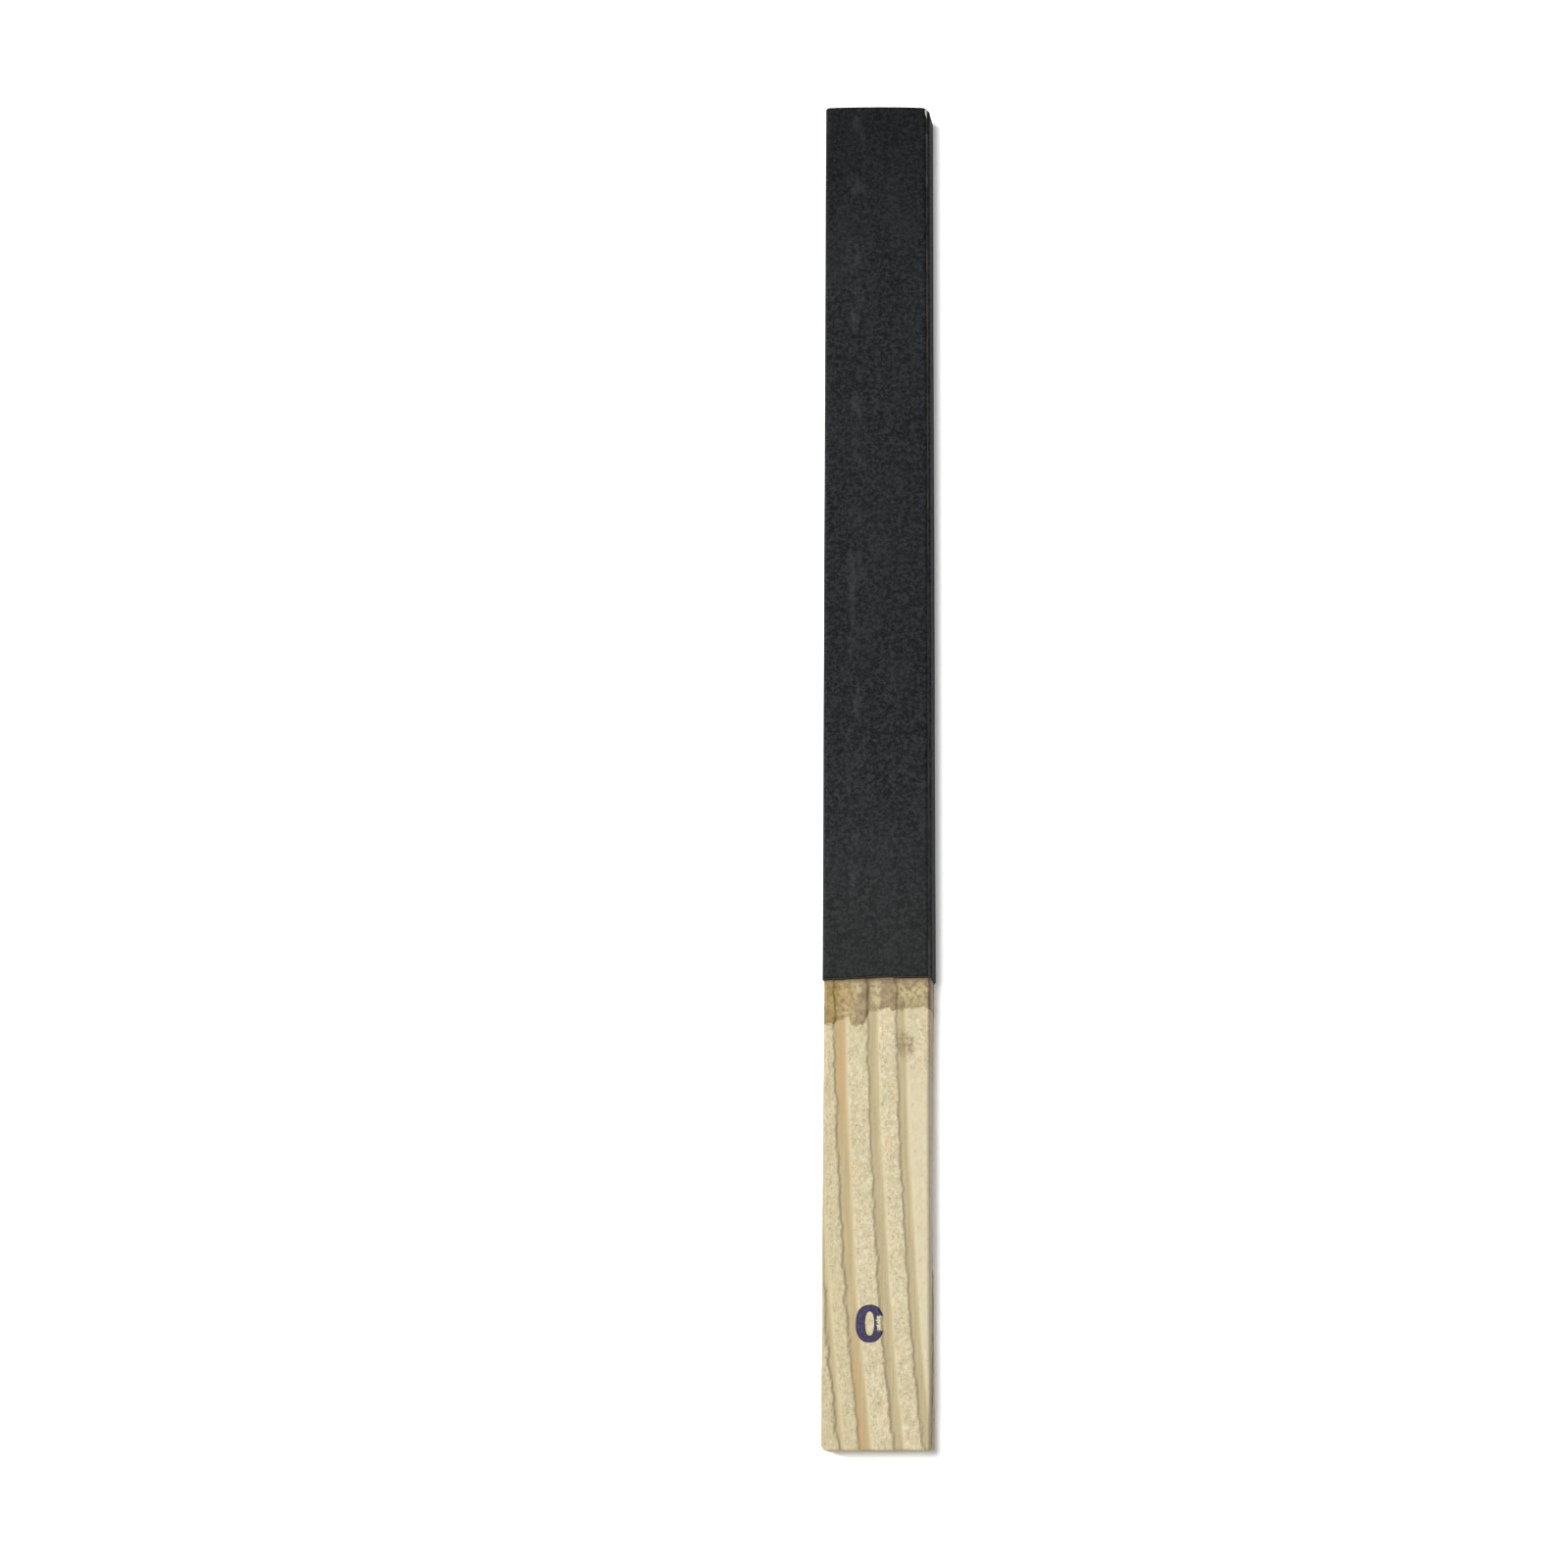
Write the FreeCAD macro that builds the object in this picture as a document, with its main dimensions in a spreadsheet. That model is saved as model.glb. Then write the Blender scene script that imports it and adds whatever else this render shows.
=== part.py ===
"""Flat emery stick: a softwood slat with black emery paper wound round its working end.

The stick lies on its back. +Y runs along it to the tip, +X across it to the right, and +Z up out of the face
that is worked with. The origin is under the middle of the stick, on the surface that it lies on.
A section through the working end, from the wood outwards, is glue film, first turn of the sheet, gap, last turn.
The sheet starts on the right-hand side, goes down, under and round, and its free end is glued down on the top
face, flush with the right-hand arris.
"""
import FreeCAD, Part
import math
import os

import Sketcher
from FreeCAD import Vector

# ---- Driving dimensions, in millimetres (mark_tilt is in degrees, turns is a count) -------------------------
SIZES = {
    "core_length": 344.0,
    "core_width": 26.1,
    "core_thickness": 9.5,
    "core_arris": 0.8,  # radius that eases the four long edges of the slat
    "end_arris": 0.6,  # radius that eases the edges of the butt end
    "wrap_length": 230.0,  # the sheet's width, measured along the stick
    "turns": 2,
    "glue_thickness": 0.05,
    "glue_run_out": 10.0,  # how far the glue shows past the sheet, on the handle
    "backing_thickness": 0.16,
    "coat_thickness": 0.06,
    "turn_gap": 0.04,
    "start_setback": 0.4,  # from the bend over the right-hand arris down to the sheet's first edge
    "flap_setback": 0.2,  # from the slat's right-hand side back to the sheet's last edge
    "lap_glue_width": 8.0,
    "mark_height": 9.0,
    "mark_width": 6.7,
    "mark_corner": 3.2,  # radius of the numeral's outside corners
    "mark_side_stroke": 2.05,
    "mark_end_stroke": 1.7,
    "mark_counter_corner": 1.2,  # radius of the corners of the hole in the numeral
    "mark_from_butt": 30.0,  # to the numeral's middle
    "mark_left_of_middle": 1.7,
    "mark_tilt": 2.0,
    "ink_thickness": 0.03,
}

PITCH = "(Sizes.backing_thickness + Sizes.coat_thickness + Sizes.turn_gap)"
BUILD_UP = f"(Sizes.glue_thickness + Sizes.turns * {PITCH} - Sizes.turn_gap)"
CORE_MIDDLE = f"({BUILD_UP} + Sizes.core_thickness / 2)"
CORE_TOP = f"({BUILD_UP} + Sizes.core_thickness)"
HALF_WIDTH = "Sizes.core_width / 2"
HALF_THICKNESS = "Sizes.core_thickness / 2"
TIP = "Sizes.core_length / 2"

ORIGIN = (-1, 1)  # Sketcher's name for the sketch origin
START, END = 1, 2  # Sketcher's names for the ends of a line or an arc


def make_sheet(doc):
    """The spreadsheet that every size is read from."""
    sheet = doc.addObject("Spreadsheet::Sheet", "Sizes")
    for row, (name, value) in enumerate(SIZES.items(), start=1):
        sheet.set(f"A{row}", name)
        sheet.set(f"B{row}", str(value))
        sheet.setAlias(f"B{row}", name)
    doc.recompute()
    return sheet


def origin_plane(body, role):
    return next(plane for plane in body.Origin.OriginFeatures if plane.Role == role)


def section_sketch(body, name):
    """A sketch across the stick at its tip, with its origin on the slat's own axis. A pad runs to the butt."""
    sketch = body.newObject("Sketcher::SketchObject", name)
    sketch.AttachmentSupport = [(origin_plane(body, "XZ_Plane"), "")]
    sketch.MapMode = "FlatFace"
    sketch.setExpression("AttachmentOffset.Base.y", CORE_MIDDLE)
    sketch.setExpression("AttachmentOffset.Base.z", f"-{TIP}")
    return sketch


def pad(body, sketch, name, length):
    feature = body.newObject("PartDesign::Pad", name)
    feature.Profile = sketch
    feature.setExpression("Length", length)
    body.Tip = feature
    return feature


class Outline:
    """Lines and tangent arcs in a sketch, each sized by an expression."""

    def __init__(self, sketch):
        self.sketch = sketch
        self.constraints = []
        self.expressions = {}

    def value(self, expression):
        return float(self.sketch.evalExpression(expression))

    def rule(self, kind, *where):
        self.constraints.append(Sketcher.Constraint(kind, *where))

    def size(self, kind, *where, expression):
        """Adds a dimension that close() binds to an expression."""
        name = f"size_{self.sketch.ConstraintCount + len(self.constraints)}"
        constraint = Sketcher.Constraint(kind, *where, self.value(expression))
        constraint.Name = name
        self.constraints.append(constraint)
        self.expressions[name] = expression

    def place(self, axis, sign, line, end, expression):
        """Holds one end of a line at a distance from the origin, on its positive or negative side."""
        points = (*ORIGIN, line, end) if sign > 0 else (line, end, *ORIGIN)
        self.size(f"Distance{axis}", *points, expression=expression)

    def line(self, start, stop):
        return self.sketch.addGeometry(Part.LineSegment(Vector(*start, 0), Vector(*stop, 0)), False)

    def corner(self, before, after, centre, radius, first_angle, last_angle, expression):
        """A clockwise tangent arc from the end of one line to the start of the next."""
        circle = Part.Circle(Vector(*centre, 0), Vector(0, 0, 1), radius)
        arc = self.sketch.addGeometry(Part.ArcOfCircle(circle, last_angle, first_angle), False)
        self.rule("Tangent", before, END, arc, END)
        self.rule("Tangent", arc, START, after, START)
        self.size("Radius", arc, expression=expression)

    def join(self, one, one_end, one_point, other, other_end, other_point):
        """A line from an end of one line to an end of another."""
        line = self.line(one_point, other_point)
        self.rule("Coincident", line, START, one, one_end)
        self.rule("Coincident", line, END, other, other_end)

    def close(self):
        """Hands every constraint to the sketch at once, then binds the named ones."""
        self.sketch.addConstraint(self.constraints)
        for name, expression in self.expressions.items():
            self.sketch.setExpression(f"Constraints.{name}", expression)


# The four sides of a section, clockwise as seen from the butt: the axis that the side is set out on, the sign
# of its place on it, and the angle at which the corner after it begins.
RIGHT = ("X", 1, 0.0)
UNDER = ("Y", -1, -math.pi / 2)
LEFT = ("X", -1, -math.pi)
TOP = ("Y", 1, -3 * math.pi / 2)
SIDES = (RIGHT, UNDER, LEFT, TOP)


def run_round(outline, sides, places, radii, free_ends=None):
    """Lays a line along each side in turn and joins them with tangent arcs.

    places and radii hold an expression for each line's distance from the origin and for each arc's radius.
    Without free_ends the run closes on itself. Returns the index of the first and of the last line.
    """
    total = len(sides)
    joins = [(count, (count + 1) % total) for count in range(total if free_ends is None else total - 1)]
    at = [sign * outline.value(place) for (_, sign, _), place in zip(sides, places)]
    starts = {}
    ends = {}
    corners = []
    for (count, following), radius_expression in zip(joins, radii):
        axis, sign, angle = sides[count]
        radius = outline.value(radius_expression)
        here = at[count] - sign * radius
        there = at[following] - sides[following][1] * radius
        centre = (here, there) if axis == "X" else (there, here)
        last_angle = angle - math.pi / 2
        ends[count] = (centre[0] + radius * math.cos(angle), centre[1] + radius * math.sin(angle))
        starts[following] = (
            centre[0] + radius * math.cos(last_angle),
            centre[1] + radius * math.sin(last_angle),
        )
        corners.append((count, following, centre, radius, angle, last_angle, radius_expression))
    if free_ends is not None:
        starts[0], ends[total - 1] = free_ends

    lines = []
    for count, (axis, sign, _) in enumerate(sides):
        line = outline.line(starts[count], ends[count])
        outline.rule("Vertical" if axis == "X" else "Horizontal", line)
        outline.place(axis, sign, line, START, places[count])
        lines.append(line)
    for count, following, *arc in corners:
        outline.corner(lines[count], lines[following], *arc)
    return lines[0], lines[-1]


def rounded_box(sketch, half_width, half_height, corner):
    """A closed rectangle with rounded corners, centred on the sketch origin."""
    outline = Outline(sketch)
    places = [half_width, half_height] * 2
    run_round(outline, SIDES, places, [corner] * len(SIDES))
    outline.close()


def slat_section(sketch, lift):
    """The slat's own section, swelled by an expression."""
    rounded_box(sketch, f"{HALF_WIDTH} + {lift}", f"{HALF_THICKNESS} + {lift}", f"Sizes.core_arris + {lift}")


def wound_strip(sketch, inner_lift, outer_lift):
    """The section of a strip wound round the slat, between two lifts off it on its first turn."""
    outline = Outline(sketch)
    turns = int(outline.value("Sizes.turns"))
    start_level = f"{HALF_THICKNESS} - Sizes.core_arris - {PITCH} - Sizes.start_setback"
    flap_edge = f"{HALF_WIDTH} - Sizes.flap_setback"
    sides = SIDES * turns
    runs = []
    for lift in (inner_lift, outer_lift):
        lifts = [f"{lift} + {count // len(SIDES)} * {PITCH}" for count in range(len(sides))]
        halves = [HALF_WIDTH if axis == "X" else HALF_THICKNESS for axis, _, _ in sides]
        places = [f"{half} + {rise}" for half, rise in zip(halves, lifts)]
        radii = [f"Sizes.core_arris + {rise}" for rise in lifts[1:]]
        start = (outline.value(places[0]), outline.value(start_level))
        stop = (outline.value(flap_edge), outline.value(places[-1]))
        first, last = run_round(outline, sides, places, radii, (start, stop))
        outline.place("Y", 1, first, START, start_level)
        outline.place("X", 1, last, END, flap_edge)
        runs.append((first, start, last, stop))
    (inner_first, inner_start, inner_last, inner_stop), (outer_first, outer_start, outer_last, outer_stop) = runs
    outline.join(inner_first, START, inner_start, outer_first, START, outer_start)
    outline.join(inner_last, END, inner_stop, outer_last, END, outer_stop)
    outline.close()


def make_core(doc):
    """The slat: one plain length of softwood with eased edges."""
    body = doc.addObject("PartDesign::Body", "wood_core")
    sketch = section_sketch(body, "core_section")
    slat_section(sketch, "0")
    stock = pad(body, sketch, "core_stock", "Sizes.core_length")
    doc.recompute()
    places = [face.CenterOfMass.y for face in stock.Shape.Faces]
    butt_face = f"Face{places.index(min(places)) + 1}"
    eased = body.newObject("PartDesign::Fillet", "eased_butt")
    eased.Base = (stock, [butt_face])
    eased.setExpression("Radius", "Sizes.end_arris")
    body.Tip = eased
    return body


def make_glue_film(doc):
    """The film that bonds the first turn to the wood, and what was squeezed out of it onto the handle."""
    body = doc.addObject("PartDesign::Body", "glue_film")
    sketch = section_sketch(body, "glue_section")
    slat_section(sketch, "Sizes.glue_thickness")
    slat_section(sketch, "0")
    pad(body, sketch, "glue_coat", "Sizes.wrap_length + Sizes.glue_run_out")
    return body


def make_wound_layer(doc, label, inner_lift, outer_lift):
    """One layer of the sheet, wound from the right-hand side to the flap on the top face."""
    body = doc.addObject("PartDesign::Body", label)
    sketch = section_sketch(body, f"{label}_section")
    wound_strip(sketch, inner_lift, outer_lift)
    pad(body, sketch, f"{label}_winding", "Sizes.wrap_length")
    return body


def make_lap_glue(doc):
    """The bead that holds the flap down on the turn below it."""
    strip = doc.addObject("Part::Box", "lap_glue")
    below = f"(Sizes.turns - 1) * {PITCH} + Sizes.glue_thickness - Sizes.turn_gap"
    strip.setExpression("Length", "Sizes.lap_glue_width")
    strip.setExpression("Width", "Sizes.wrap_length")
    strip.setExpression("Height", "Sizes.turn_gap")
    strip.setExpression("Placement.Base.x", f"{HALF_WIDTH} - Sizes.core_arris - Sizes.lap_glue_width")
    strip.setExpression("Placement.Base.y", f"{TIP} - Sizes.wrap_length")
    strip.setExpression("Placement.Base.z", f"{CORE_TOP} + {below}")
    return strip


def make_grade_mark(doc):
    """A plain inked grade numeral, nought, on the top face of the handle."""
    body = doc.addObject("PartDesign::Body", "grade_mark")
    sketch = body.newObject("Sketcher::SketchObject", "mark_outline")
    sketch.AttachmentSupport = [(origin_plane(body, "XY_Plane"), "")]
    sketch.MapMode = "FlatFace"
    sketch.AttachmentOffset = FreeCAD.Placement(
        Vector(0, 0, 0), FreeCAD.Rotation(Vector(0, 0, 1), SIZES["mark_tilt"])
    )
    sketch.setExpression("AttachmentOffset.Base.x", "-Sizes.mark_left_of_middle")
    sketch.setExpression("AttachmentOffset.Base.y", f"Sizes.mark_from_butt - {TIP}")
    sketch.setExpression("AttachmentOffset.Base.z", CORE_TOP)
    sketch.setExpression("AttachmentOffset.Rotation.Angle", "Sizes.mark_tilt")
    rounded_box(sketch, "Sizes.mark_width / 2", "Sizes.mark_height / 2", "Sizes.mark_corner")
    rounded_box(
        sketch,
        "Sizes.mark_width / 2 - Sizes.mark_side_stroke",
        "Sizes.mark_height / 2 - Sizes.mark_end_stroke",
        "Sizes.mark_counter_corner",
    )
    pad(body, sketch, "mark_ink", "Sizes.ink_thickness")
    return body


def check_document(doc):
    for item in doc.Objects:
        bad = [state for state in item.State if state in ("Invalid", "Error")]
        if bad:
            raise RuntimeError(f"{item.Label} is {bad}")


def export(parts):
    os.makedirs("parts", exist_ok=True)
    for part in parts:
        shape = part.Shape
        if shape.isNull() or not shape.isValid() or not shape.Solids:
            raise RuntimeError(f"{part.Label} has no sound solid")
    for part in parts:
        part.Shape.exportStep(f"parts/{part.Label}.step")
        box = part.Shape.BoundBox
        print(
            f"{part.Label}: {part.Shape.Volume:.2f} mm3,"
            f" x {box.XMin:.2f} to {box.XMax:.2f}, y {box.YMin:.2f} to {box.YMax:.2f},"
            f" z {box.ZMin:.2f} to {box.ZMax:.2f}"
        )


def main():
    doc = FreeCAD.newDocument("emery_stick")
    make_sheet(doc)
    backing_outside = "Sizes.glue_thickness + Sizes.backing_thickness"
    coat_outside = f"{backing_outside} + Sizes.coat_thickness"
    parts = [
        make_core(doc),
        make_glue_film(doc),
        make_wound_layer(doc, "paper_backing", "Sizes.glue_thickness", backing_outside),
        make_wound_layer(doc, "abrasive_coat", backing_outside, coat_outside),
        make_lap_glue(doc),
        make_grade_mark(doc),
    ]
    doc.recompute()
    check_document(doc)
    export(parts)


main()
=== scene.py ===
"""Looks of a flat emery stick: a softwood slat with black emery paper wound round its working end.

Lengths are in millimetres and are turned into metres where a mesh is made. The stage's are in metres.
+Y runs along the stick from the bare handle to the wound tip, +X across it to the right, and +Z up out of
the face that is worked with.
"""

import math

import bmesh
import bpy
import numpy as np
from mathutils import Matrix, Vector, noise


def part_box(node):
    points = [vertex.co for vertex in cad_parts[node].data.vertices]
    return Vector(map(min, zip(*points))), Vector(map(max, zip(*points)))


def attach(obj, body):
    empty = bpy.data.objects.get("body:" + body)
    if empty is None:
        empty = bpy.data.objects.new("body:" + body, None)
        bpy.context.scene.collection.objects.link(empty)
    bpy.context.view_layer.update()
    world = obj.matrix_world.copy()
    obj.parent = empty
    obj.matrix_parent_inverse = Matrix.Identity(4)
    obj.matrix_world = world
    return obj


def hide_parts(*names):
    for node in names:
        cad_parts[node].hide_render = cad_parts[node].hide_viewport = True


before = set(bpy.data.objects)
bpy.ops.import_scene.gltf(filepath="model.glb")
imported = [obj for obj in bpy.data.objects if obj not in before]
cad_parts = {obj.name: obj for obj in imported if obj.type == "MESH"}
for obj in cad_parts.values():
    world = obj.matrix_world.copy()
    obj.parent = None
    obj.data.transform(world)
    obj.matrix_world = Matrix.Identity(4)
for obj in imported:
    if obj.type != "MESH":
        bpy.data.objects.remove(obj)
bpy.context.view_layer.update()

MM = 0.001


def box_in_mm(node):
    """A node's lowest and highest corners."""
    low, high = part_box(node)
    return np.array(low) / MM, np.array(high) / MM


SLAT_LOW, SLAT_HIGH = box_in_mm("wood_core")
SHEET_LOW, SHEET_HIGH = box_in_mm("abrasive_coat")
GLUE_LOW, GLUE_HIGH = box_in_mm("glue_film")
MARK_LOW, MARK_HIGH = box_in_mm("grade_mark")
BACKING_HIGH = box_in_mm("paper_backing")[1]
LAP_LOW, LAP_HIGH = box_in_mm("lap_glue")

# ---- Sizes that the frame gives ------------------------------------------------------------------
SLAT_HALF_WIDTH = (SLAT_HIGH[0] - SLAT_LOW[0]) / 2
SLAT_HALF_DEPTH = (SLAT_HIGH[2] - SLAT_LOW[2]) / 2
SLAT_MIDDLE = (SLAT_HIGH[2] + SLAT_LOW[2]) / 2
BUTT, TIP = SLAT_LOW[1], SLAT_HIGH[1]
SHEET_EDGE = SHEET_LOW[1]
GLUE_EDGE = GLUE_LOW[1]
GLUE_LIFT = GLUE_HIGH[0] - SLAT_HIGH[0]
COAT_DEPTH = SHEET_HIGH[0] - BACKING_HIGH[0]

# ---- The slat ------------------------------------------------------------------------------------
ARRIS = 0.8
BUTT_ROUND = 0.5
TIP_ROUND = 0.2
CORNER_ROUND = 0.8  # of the butt's corners, seen from above
TIP_CORNERS = (0.9, 2.3)  # of the tip's left and right corners, seen from above
FLARE, FLARE_LENGTH = 0.15, 36.0  # each side spreads this much towards the butt
BOW, BOW_LENGTH = 0.28, 32.0  # the handle has sprung this far to the left
BUTT_SLANT = 0.45  # the butt is sawn a little short at the back
TIP_SLANT = 0.058  # and the tip a little askew
TIP_CROWN, TIP_PROUD = 0.3, 0.1  # the tip is worn back at its sides, and its middle stands a little proud
TIP_INSET = 0.15  # how far the wood stops short of the sheet's end
END_ZONE = (3.0, 0.5)  # an end's shape sets in over the wood between these distances from it
FINE_ROW = 0.4
COARSE_ROW = 8.0
TUCK = 3.0  # how far the finely modelled wood runs on under the sheet
SLAT_STATIONS = (24, 64, 24, 112)  # across the right, back, left and working faces
SLAT_ROUND_STEPS = 5
BUTT_ROUND_STEPS = 4
CAP_RINGS = 12

# Growth rings are cylinders about a pith that lies to the left of the slat and under it. Each is named by its
# place on the working face beside the sheet, measured from the left arris, with the width of its groove.
PITH_LEFT = 22.0
PITH_BELOW = 30.0
FACE_RINGS = ((-2.6, 1.0), (2.6, 2.6), (10.8, 2.2), (17.8, 1.9), (27.4, 2.0), (32.5, 1.8), (38.5, 1.6))
INNER_RINGS = ((18.0, 1.4), (22.6, 1.2), (27.0, 1.6), (31.2, 1.2))  # these miss the face: radius and groove
WARM_RING = 5  # counted out from the pith: the ring whose groove has darkened to orange
COMBED_RING = 7  # and the first of those whose bands are combed smooth
RING_WANDER = 0.28  # how far the rings stray from true cylinders
TEAR, FINE_TEAR = 0.36, 0.2  # how raggedly a band breaks off, in broad bites and in small ones
GROOVE_DEPTH, DEPTH_SPREAD = 0.26, 0.25  # and the share of it that varies along a groove
SLOPE_START, SLOPE_END = -0.6, 0.6  # where the ground slopes up to the next band, about the end of the groove
NAP_START, NAP_END = SLOPE_END - 0.5, SLOPE_END + 0.3  # the nap thickens over this part of the slope
TONE_START, TONE_END = SLOPE_START + 0.2, SLOPE_END + 0.3  # and the colour turns pale over this one
RAGGED_DROP = 0.55  # the width of the steep edge where a band breaks off into a groove
BREAK_START, BREAK_END = -0.05, 0.3  # the pale colour stops over this part of that edge
FOOT_ON_BAND, FOOT_IN_GROOVE = 1.0, 0.5  # how far the shade along that edge reaches to each side
PAST_LIMIT = 3.0
HANDLE = SHEET_EDGE - BUTT
# Down the handle the rings drift right by this share of the way, and by this much more at the butt.
DRIFT, DRIFT_AT_BUTT = 0.03, 3.5
# How uneven the sawn wood is, how much more so the nap on its bands is, and how far the bands rise.
PILE_RISE, FUZZ_RISE, BAND_RISE = 0.03, 0.06, 0.01

# ---- The glue ------------------------------------------------------------------------------------
FILM_HALF_DEPTH = 0.03
FILM_MARGIN = 4.0  # how far the film's mesh runs on past its nominal edge
CREEP = 7.7  # how far the glue has crept along the handle
CREEP_WAVE, CREEP_RIPPLE = 0.5, 0.3  # and how unevenly
RUN_PLACE, RUN_LENGTH = -4.6, 3.6  # one run of it, left of the middle

# ---- The wound sheet -----------------------------------------------------------------------------
TURNS = 2
SHEET_BUILD = SHEET_HIGH[0] - SLAT_HIGH[0] - GLUE_LIFT
TURN_GAP = 0.04
SHEET_DEPTH = (SHEET_BUILD - (TURNS - 1) * TURN_GAP) / TURNS
PITCH = SHEET_DEPTH + TURN_GAP
BACKING_DEPTH = SHEET_DEPTH - COAT_DEPTH
SHEET_STATIONS = (18, 44, 18, 44)
SHEET_ROUND_STEPS = 8
WINDING_START = 3  # the station at which the sheet starts
CUT_WAVE, CUT_NICKS = 0.12, 0.05  # how unevenly the sheet's edge by the handle is cut
CUT_SKEW, CUT_STEP = 0.022, 0.25  # that edge runs askew over the working face, and steps down at the right
SECOND_TURN_SHORT = 0.3  # how far the second turn stops short of the first there
TIP_NICKS = 0.04
SWELL = 0.05  # how far the second turn swells and sinks
FREE_END_INSET, FREE_END_WAVE = 0.12, 0.1  # how far the free end stops short of the slat's side
CHIP = 6.0  # at its corner by the tip the coat is set back this many times further
COAT_SET_BACK = 0.06  # how far the coat's free edges stop short of the backing's
LAP_INSET = 0.6  # how far the bead under the free end stops short of the sheet's ends

# ---- The numeral ---------------------------------------------------------------------------------
COUNTER_HALF = np.array((1.08, 2.85))
NUMERAL_ROUNDS, NUMERAL_RINGS = 120, 12
SQUARENESS = 2.35  # 2 is an ellipse, and more is squarer
INK_RISE, INK_SOAK = 0.03, 0.05  # over and under the wood's surface


# ---- Small tools ---------------------------------------------------------------------------------
def smooth(value, low, high):
    """0 below low, 1 above high, and a soft ramp between them."""
    share = np.clip((value - low) / (high - low), 0.0, 1.0)
    return share * share * (3.0 - 2.0 * share)


def noise_at(points, size, seed):
    """Noise from -1 to 1 whose features are about size across, at each row of points."""
    scaled = points / np.asarray(size) + seed
    return np.array([noise.noise(Vector(point)) for point in scaled])


def make_piece(name, points, faces, material, stands_for, attributes=None):
    """A mesh object in the frame, from points in millimetres, with its faces turned outwards."""
    mesh = bpy.data.meshes.new(name)
    mesh.from_pydata((points * MM).tolist(), [], faces)
    for label, values in (attributes or {}).items():
        layer = mesh.attributes.new(label, "FLOAT", "POINT")
        layer.data.foreach_set("value", np.asarray(values, np.float32))
    work = bmesh.new()
    work.from_mesh(mesh)
    bmesh.ops.remove_doubles(work, verts=work.verts, dist=0.002 * MM)
    bmesh.ops.recalc_face_normals(work, faces=work.faces)
    work.to_mesh(mesh)
    work.free()
    mesh.shade_smooth()
    mesh.materials.append(material)
    piece = bpy.data.objects.new(name, mesh)
    bpy.context.scene.collection.objects.link(piece)
    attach(piece, "root")
    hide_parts(stands_for)
    return piece


def quads(rows, columns, closed, start=0):
    """Faces of a grid of points stored row by row. A closed grid joins its last column to its first."""
    faces = []
    last = columns if closed else columns - 1
    for row in range(rows - 1):
        for column in range(last):
            after = (column + 1) % columns
            here, above = start + row * columns, start + (row + 1) * columns
            faces.append((here + column, here + after, above + after, above + column))
    return faces


def rim(first, second):
    """Faces between two strings of point numbers."""
    pairs = zip(first, first[1:], second[1:], second)
    return [tuple(pair) for pair in pairs]


def slab(outer, inner, closed):
    """Points and faces of a closed shell between two grids of the same shape."""
    rows, columns = outer.shape[:2]
    points = np.concatenate([outer.reshape(-1, 3), inner.reshape(-1, 3)])
    below = rows * columns
    faces = quads(rows, columns, closed) + quads(rows, columns, closed, below)
    index = np.arange(rows * columns).reshape(rows, columns)
    edges = [index[0], index[-1]]
    if closed:
        edges = [np.append(edge, edge[0]) for edge in edges]
    else:
        edges += [index[:, 0], index[:, -1]]
    for edge in edges:
        faces += rim(edge.tolist(), (edge + below).tolist())
    return points, faces


# ---- The slat's section --------------------------------------------------------------------------
def section_stations(counts, round_steps):
    """Places and outward directions round the slat's section, clockwise from the top of its right side."""
    places, directions = [], []
    for side, count in enumerate(counts):
        angle = -side * math.pi / 2
        out = np.array((math.cos(angle), math.sin(angle)))
        along = np.array((math.sin(angle), -math.cos(angle)))
        reach, half = SLAT_HALF_WIDTH, SLAT_HALF_DEPTH
        if side % 2:
            reach, half = half, reach
        for step in range(count):
            places.append(out * reach + along * (half - ARRIS) * (2 * step / count - 1))
            directions.append(out)
        centre = out * (reach - ARRIS) + along * (half - ARRIS)
        for step in range(round_steps):
            turn = angle - math.pi / 2 * step / round_steps
            outward = np.array((math.cos(turn), math.sin(turn)))
            places.append(centre + outward * ARRIS)
            directions.append(outward)
    return np.array(places), np.array(directions)


def grain_drift(y):
    """How far the rings have wandered to the right at a place along the stick: faster towards the butt."""
    below_sheet = SHEET_EDGE - y
    return DRIFT * below_sheet + DRIFT_AT_BUTT * np.maximum(below_sheet / HANDLE, 0.0) ** 3


def ring_edges():
    """Each ring's starting radius, its groove's width, and the radius that a millimetre of the face spans."""
    rings = [(radius, groove, 1.0) for radius, groove in INNER_RINGS]
    for place, groove in FACE_RINGS:
        radius = math.hypot(place + PITH_LEFT, PITH_BELOW)
        rings.append((radius, groove, (place + PITH_LEFT) / radius))
    return np.array(rings).T


def wood_grain(points):
    """How points lie among the rings: in which, how far past its start and groove, how short of its end."""
    across = points[:, 0] + SLAT_HALF_WIDTH - grain_drift(points[:, 1])
    wander = RING_WANDER * noise_at(points, (9.0, 34.0, 9.0), 3.0)
    radius = np.hypot(across + wander + PITH_LEFT, points[:, 2] - SLAT_HIGH[2] + PITH_BELOW)
    bites = TEAR * noise_at(points, (1.6, 3.0, 1.6), 11.0)
    torn = bites + FINE_TEAR * noise_at(points, (0.7, 1.1, 0.7), 17.0)
    radii, grooves, leans = ring_edges()
    ring = np.clip(np.searchsorted(radii, radius + torn) - 1, 0, len(radii) - 2)
    begun = (radius + torn - radii[ring]) / leans[ring]
    past = (radius - radii[ring]) / leans[ring] - grooves[ring]
    ahead = (radii[ring + 1] - radius - torn) / leans[ring + 1]
    return ring, begun, np.clip(past, -PAST_LIMIT, PAST_LIMIT), ahead


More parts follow.
